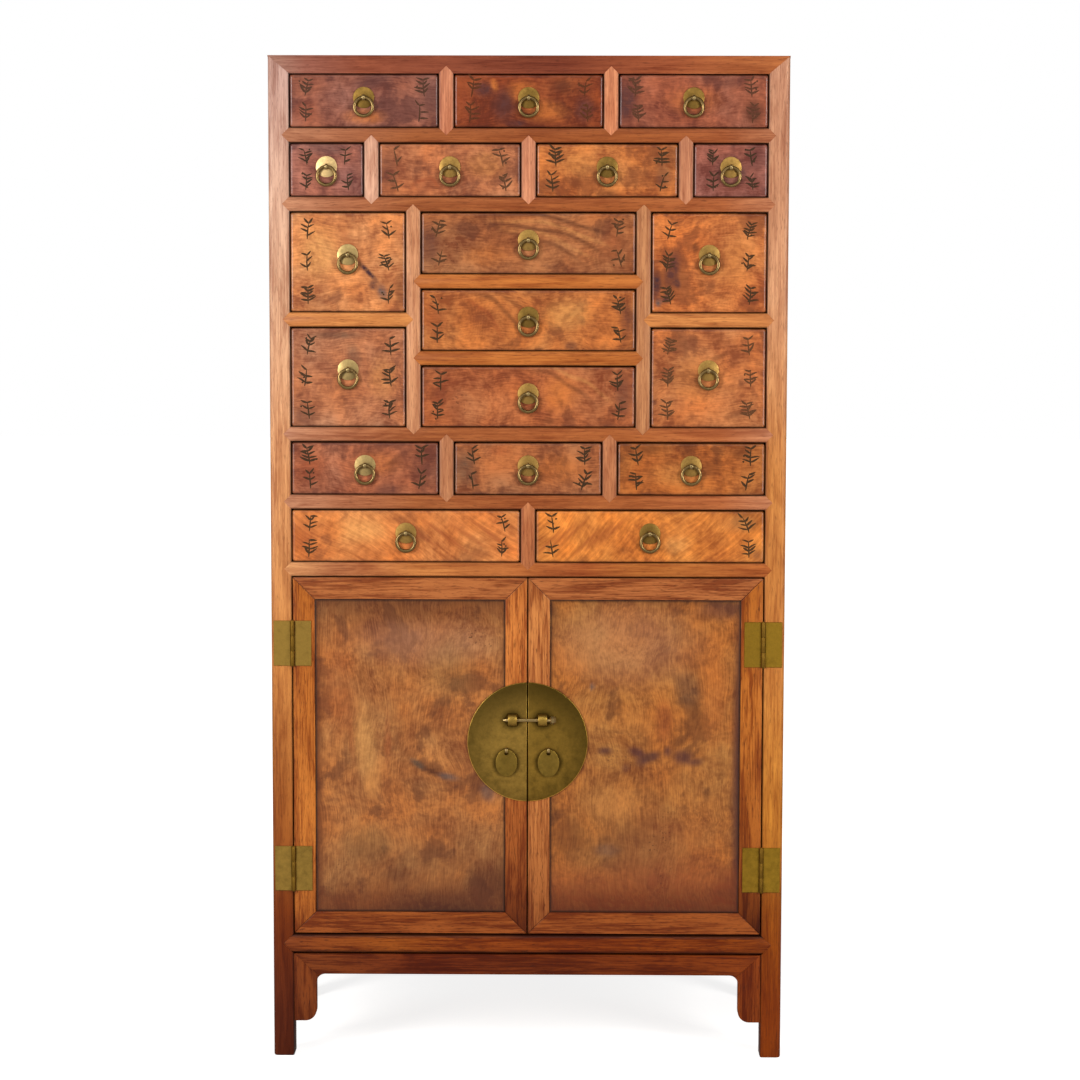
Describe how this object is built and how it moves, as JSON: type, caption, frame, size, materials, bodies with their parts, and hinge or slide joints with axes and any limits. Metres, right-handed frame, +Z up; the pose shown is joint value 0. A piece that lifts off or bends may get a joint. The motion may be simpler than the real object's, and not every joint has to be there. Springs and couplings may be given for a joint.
{
  "type": "apothecary chest",
  "caption": "Tall wooden apothecary chest: rows of ring-pull drawers over a cupboard with paired doors, a round brass lock plate and hanging oval pulls.",
  "frame": {"origin": "centre of the bounding box at floor level", "axes": "+Z up from the floor, -Y out of the front where the drawers open, +X to the right seen from the front"},
  "size_m": [0.936, 0.4752, 1.83],
  "materials": {
    "frame_wood": "waxed red-brown hardwood",
    "burl_drawer": "waxed figured burl",
    "burl_door": "waxed cloudy burl",
    "aged_brass": "aged olive brass",
    "ring_brass": "handled brass"
  },
  "bodies": {
    "case": {"front_post_left": "frame_wood", "front_post_right": "frame_wood", "side_frame_left": "frame_wood", "side_frame_right": "frame_wood", "back_frame": "frame_wood", "top_frame": "frame_wood", "cupboard_floor": "frame_wood", "front_apron": "frame_wood", "row_1_frame": "frame_wood", "row_2_frame": "frame_wood", "row_3_frame": "frame_wood", "row_4_frame": "frame_wood", "row_5_frame": "frame_wood"},
    "drawer_1_left": {"drawer_1_left": "burl_drawer"},
    "drawer_1_middle": {"drawer_1_middle": "burl_drawer"},
    "drawer_1_right": {"drawer_1_right": "burl_drawer"},
    "drawer_2_far_left": {"drawer_2_far_left": "burl_drawer"},
    "drawer_2_left": {"drawer_2_left": "burl_drawer"},
    "drawer_2_right": {"drawer_2_right": "burl_drawer"},
    "drawer_2_far_right": {"drawer_2_far_right": "burl_drawer"},
    "drawer_3_upper_left": {"drawer_3_upper_left": "burl_drawer"},
    "drawer_3_lower_left": {"drawer_3_lower_left": "burl_drawer"},
    "drawer_3_upper_centre": {"drawer_3_upper_centre": "burl_drawer"},
    "drawer_3_middle_centre": {"drawer_3_middle_centre": "burl_drawer"},
    "drawer_3_lower_centre": {"drawer_3_lower_centre": "burl_drawer"},
    "drawer_3_upper_right": {"drawer_3_upper_right": "burl_drawer"},
    "drawer_3_lower_right": {"drawer_3_lower_right": "burl_drawer"},
    "drawer_4_left": {"drawer_4_left": "burl_drawer"},
    "drawer_4_middle": {"drawer_4_middle": "burl_drawer"},
    "drawer_4_right": {"drawer_4_right": "burl_drawer"},
    "drawer_5_left": {"drawer_5_left": "burl_drawer"},
    "drawer_5_right": {"drawer_5_right": "burl_drawer"},
    "ring_1_left": {"ring_1_left": "ring_brass"},
    "ring_1_middle": {"ring_1_middle": "ring_brass"},
    "ring_1_right": {"ring_1_right": "ring_brass"},
    "ring_2_far_left": {"ring_2_far_left": "ring_brass"},
    "ring_2_left": {"ring_2_left": "ring_brass"},
    "ring_2_right": {"ring_2_right": "ring_brass"},
    "ring_2_far_right": {"ring_2_far_right": "ring_brass"},
    "ring_3_upper_left": {"ring_3_upper_left": "ring_brass"},
    "ring_3_lower_left": {"ring_3_lower_left": "ring_brass"},
    "ring_3_upper_centre": {"ring_3_upper_centre": "ring_brass"},
    "ring_3_middle_centre": {"ring_3_middle_centre": "ring_brass"},
    "ring_3_lower_centre": {"ring_3_lower_centre": "ring_brass"},
    "ring_3_upper_right": {"ring_3_upper_right": "ring_brass"},
    "ring_3_lower_right": {"ring_3_lower_right": "ring_brass"},
    "ring_4_left": {"ring_4_left": "ring_brass"},
    "ring_4_middle": {"ring_4_middle": "ring_brass"},
    "ring_4_right": {"ring_4_right": "ring_brass"},
    "ring_5_left": {"ring_5_left": "ring_brass"},
    "ring_5_right": {"ring_5_right": "ring_brass"},
    "door_left": {"door_frame_left": "frame_wood", "door_panel_left": "burl_door", "lock_plate_left": "aged_brass"},
    "drop_pull_left": {"drop_pull_left": "aged_brass"},
    "door_right": {"door_frame_right": "frame_wood", "door_panel_right": "burl_door", "lock_plate_right": "aged_brass"},
    "drop_pull_right": {"drop_pull_right": "aged_brass"},
    "lock_pin": {"lock_pin": "ring_brass"}
  },
  "joints": [
    {"name": "door_left_hinge", "type": "hinge", "parent": "case", "child": "door_left", "pos_m": [-0.4292, -0.2264, 0.589], "axis": [0, 0, -1], "range_deg": [0, 170]},
    {"name": "door_right_hinge", "type": "hinge", "parent": "case", "child": "door_right", "pos_m": [0.4292, -0.2264, 0.589], "axis": [0, 0, 1], "range_deg": [0, 170]},
    {"name": "lock_pin_slide", "type": "slide", "parent": "door_right", "child": "lock_pin", "axis": [1, 0, 0], "range_m": [0, 0.05]},
    {"name": "drop_pull_left_swing", "type": "hinge", "parent": "door_left", "child": "drop_pull_left", "pos_m": [-0.0385, -0.22812, 0.574], "axis": [-1, 0, 0], "range_deg": [0, 150]},
    {"name": "drop_pull_right_swing", "type": "hinge", "parent": "door_right", "child": "drop_pull_right", "pos_m": [0.0385, -0.22812, 0.574], "axis": [-1, 0, 0], "range_deg": [0, 150]},
    {"name": "drawer_1_left_slide", "type": "slide", "parent": "case", "child": "drawer_1_left", "axis": [0, -1, 0], "range_m": [0, 0.3]},
    {"name": "drawer_1_middle_slide", "type": "slide", "parent": "case", "child": "drawer_1_middle", "axis": [0, -1, 0], "range_m": [0, 0.3]},
    {"name": "drawer_1_right_slide", "type": "slide", "parent": "case", "child": "drawer_1_right", "axis": [0, -1, 0], "range_m": [0, 0.3]},
    {"name": "drawer_2_far_left_slide", "type": "slide", "parent": "case", "child": "drawer_2_far_left", "axis": [0, -1, 0], "range_m": [0, 0.3]},
    {"name": "drawer_2_left_slide", "type": "slide", "parent": "case", "child": "drawer_2_left", "axis": [0, -1, 0], "range_m": [0, 0.3]},
    {"name": "drawer_2_right_slide", "type": "slide", "parent": "case", "child": "drawer_2_right", "axis": [0, -1, 0], "range_m": [0, 0.3]},
    {"name": "drawer_2_far_right_slide", "type": "slide", "parent": "case", "child": "drawer_2_far_right", "axis": [0, -1, 0], "range_m": [0, 0.3]},
    {"name": "drawer_3_upper_left_slide", "type": "slide", "parent": "case", "child": "drawer_3_upper_left", "axis": [0, -1, 0], "range_m": [0, 0.3]},
    {"name": "drawer_3_lower_left_slide", "type": "slide", "parent": "case", "child": "drawer_3_lower_left", "axis": [0, -1, 0], "range_m": [0, 0.3]},
    {"name": "drawer_3_upper_centre_slide", "type": "slide", "parent": "case", "child": "drawer_3_upper_centre", "axis": [0, -1, 0], "range_m": [0, 0.3]},
    {"name": "drawer_3_middle_centre_slide", "type": "slide", "parent": "case", "child": "drawer_3_middle_centre", "axis": [0, -1, 0], "range_m": [0, 0.3]},
    {"name": "drawer_3_lower_centre_slide", "type": "slide", "parent": "case", "child": "drawer_3_lower_centre", "axis": [0, -1, 0], "range_m": [0, 0.3]},
    {"name": "drawer_3_upper_right_slide", "type": "slide", "parent": "case", "child": "drawer_3_upper_right", "axis": [0, -1, 0], "range_m": [0, 0.3]},
    {"name": "drawer_3_lower_right_slide", "type": "slide", "parent": "case", "child": "drawer_3_lower_right", "axis": [0, -1, 0], "range_m": [0, 0.3]},
    {"name": "drawer_4_left_slide", "type": "slide", "parent": "case", "child": "drawer_4_left", "axis": [0, -1, 0], "range_m": [0, 0.3]},
    {"name": "drawer_4_middle_slide", "type": "slide", "parent": "case", "child": "drawer_4_middle", "axis": [0, -1, 0], "range_m": [0, 0.3]},
    {"name": "drawer_4_right_slide", "type": "slide", "parent": "case", "child": "drawer_4_right", "axis": [0, -1, 0], "range_m": [0, 0.3]},
    {"name": "drawer_5_left_slide", "type": "slide", "parent": "case", "child": "drawer_5_left", "axis": [0, -1, 0], "range_m": [0, 0.3]},
    {"name": "drawer_5_right_slide", "type": "slide", "parent": "case", "child": "drawer_5_right", "axis": [0, -1, 0], "range_m": [0, 0.3]},
    {"name": "ring_1_left_swing", "type": "hinge", "parent": "drawer_1_left", "child": "ring_1_left", "pos_m": [-0.29567, -0.228, 1.755], "axis": [-1, 0, 0], "range_deg": [0, 170]},
    {"name": "ring_1_middle_swing", "type": "hinge", "parent": "drawer_1_middle", "child": "ring_1_middle", "pos_m": [0, -0.228, 1.755], "axis": [-1, 0, 0], "range_deg": [0, 170]},
    {"name": "ring_1_right_swing", "type": "hinge", "parent": "drawer_1_right", "child": "ring_1_right", "pos_m": [0.29567, -0.228, 1.755], "axis": [-1, 0, 0], "range_deg": [0, 170]},
    {"name": "ring_2_far_left_swing", "type": "hinge", "parent": "drawer_2_far_left", "child": "ring_2_far_left", "pos_m": [-0.363, -0.228, 1.632], "axis": [-1, 0, 0], "range_deg": [0, 170]},
    {"name": "ring_2_left_swing", "type": "hinge", "parent": "drawer_2_left", "child": "ring_2_left", "pos_m": [-0.14125, -0.228, 1.632], "axis": [-1, 0, 0], "range_deg": [0, 170]},
    {"name": "ring_2_right_swing", "type": "hinge", "parent": "drawer_2_right", "child": "ring_2_right", "pos_m": [0.14125, -0.228, 1.632], "axis": [-1, 0, 0], "range_deg": [0, 170]},
    {"name": "ring_2_far_right_swing", "type": "hinge", "parent": "drawer_2_far_right", "child": "ring_2_far_right", "pos_m": [0.363, -0.228, 1.632], "axis": [-1, 0, 0], "range_deg": [0, 170]},
    {"name": "ring_3_upper_left_swing", "type": "hinge", "parent": "drawer_3_upper_left", "child": "ring_3_upper_left", "pos_m": [-0.3255, -0.228, 1.475], "axis": [-1, 0, 0], "range_deg": [0, 170]},
    {"name": "ring_3_lower_left_swing", "type": "hinge", "parent": "drawer_3_lower_left", "child": "ring_3_lower_left", "pos_m": [-0.3255, -0.228, 1.268], "axis": [-1, 0, 0], "range_deg": [0, 170]},
    {"name": "ring_3_upper_centre_swing", "type": "hinge", "parent": "drawer_3_upper_centre", "child": "ring_3_upper_centre", "pos_m": [0, -0.228, 1.5015], "axis": [-1, 0, 0], "range_deg": [0, 170]},
    {"name": "ring_3_middle_centre_swing", "type": "hinge", "parent": "drawer_3_middle_centre", "child": "ring_3_middle_centre", "pos_m": [0, -0.228, 1.3635], "axis": [-1, 0, 0], "range_deg": [0, 170]},
    {"name": "ring_3_lower_centre_swing", "type": "hinge", "parent": "drawer_3_lower_centre", "child": "ring_3_lower_centre", "pos_m": [0, -0.228, 1.2255], "axis": [-1, 0, 0], "range_deg": [0, 170]},
    {"name": "ring_3_upper_right_swing", "type": "hinge", "parent": "drawer_3_upper_right", "child": "ring_3_upper_right", "pos_m": [0.3255, -0.228, 1.475], "axis": [-1, 0, 0], "range_deg": [0, 170]},
    {"name": "ring_3_lower_right_swing", "type": "hinge", "parent": "drawer_3_lower_right", "child": "ring_3_lower_right", "pos_m": [0.3255, -0.228, 1.268], "axis": [-1, 0, 0], "range_deg": [0, 170]},
    {"name": "ring_4_left_swing", "type": "hinge", "parent": "drawer_4_left", "child": "ring_4_left", "pos_m": [-0.29567, -0.228, 1.095], "axis": [-1, 0, 0], "range_deg": [0, 170]},
    {"name": "ring_4_middle_swing", "type": "hinge", "parent": "drawer_4_middle", "child": "ring_4_middle", "pos_m": [0, -0.228, 1.095], "axis": [-1, 0, 0], "range_deg": [0, 170]},
    {"name": "ring_4_right_swing", "type": "hinge", "parent": "drawer_4_right", "child": "ring_4_right", "pos_m": [0.29567, -0.228, 1.095], "axis": [-1, 0, 0], "range_deg": [0, 170]},
    {"name": "ring_5_left_swing", "type": "hinge", "parent": "drawer_5_left", "child": "ring_5_left", "pos_m": [-0.22175, -0.228, 0.972], "axis": [-1, 0, 0], "range_deg": [0, 170]},
    {"name": "ring_5_right_swing", "type": "hinge", "parent": "drawer_5_right", "child": "ring_5_right", "pos_m": [0.22175, -0.228, 0.972], "axis": [-1, 0, 0], "range_deg": [0, 170]}
  ]
}
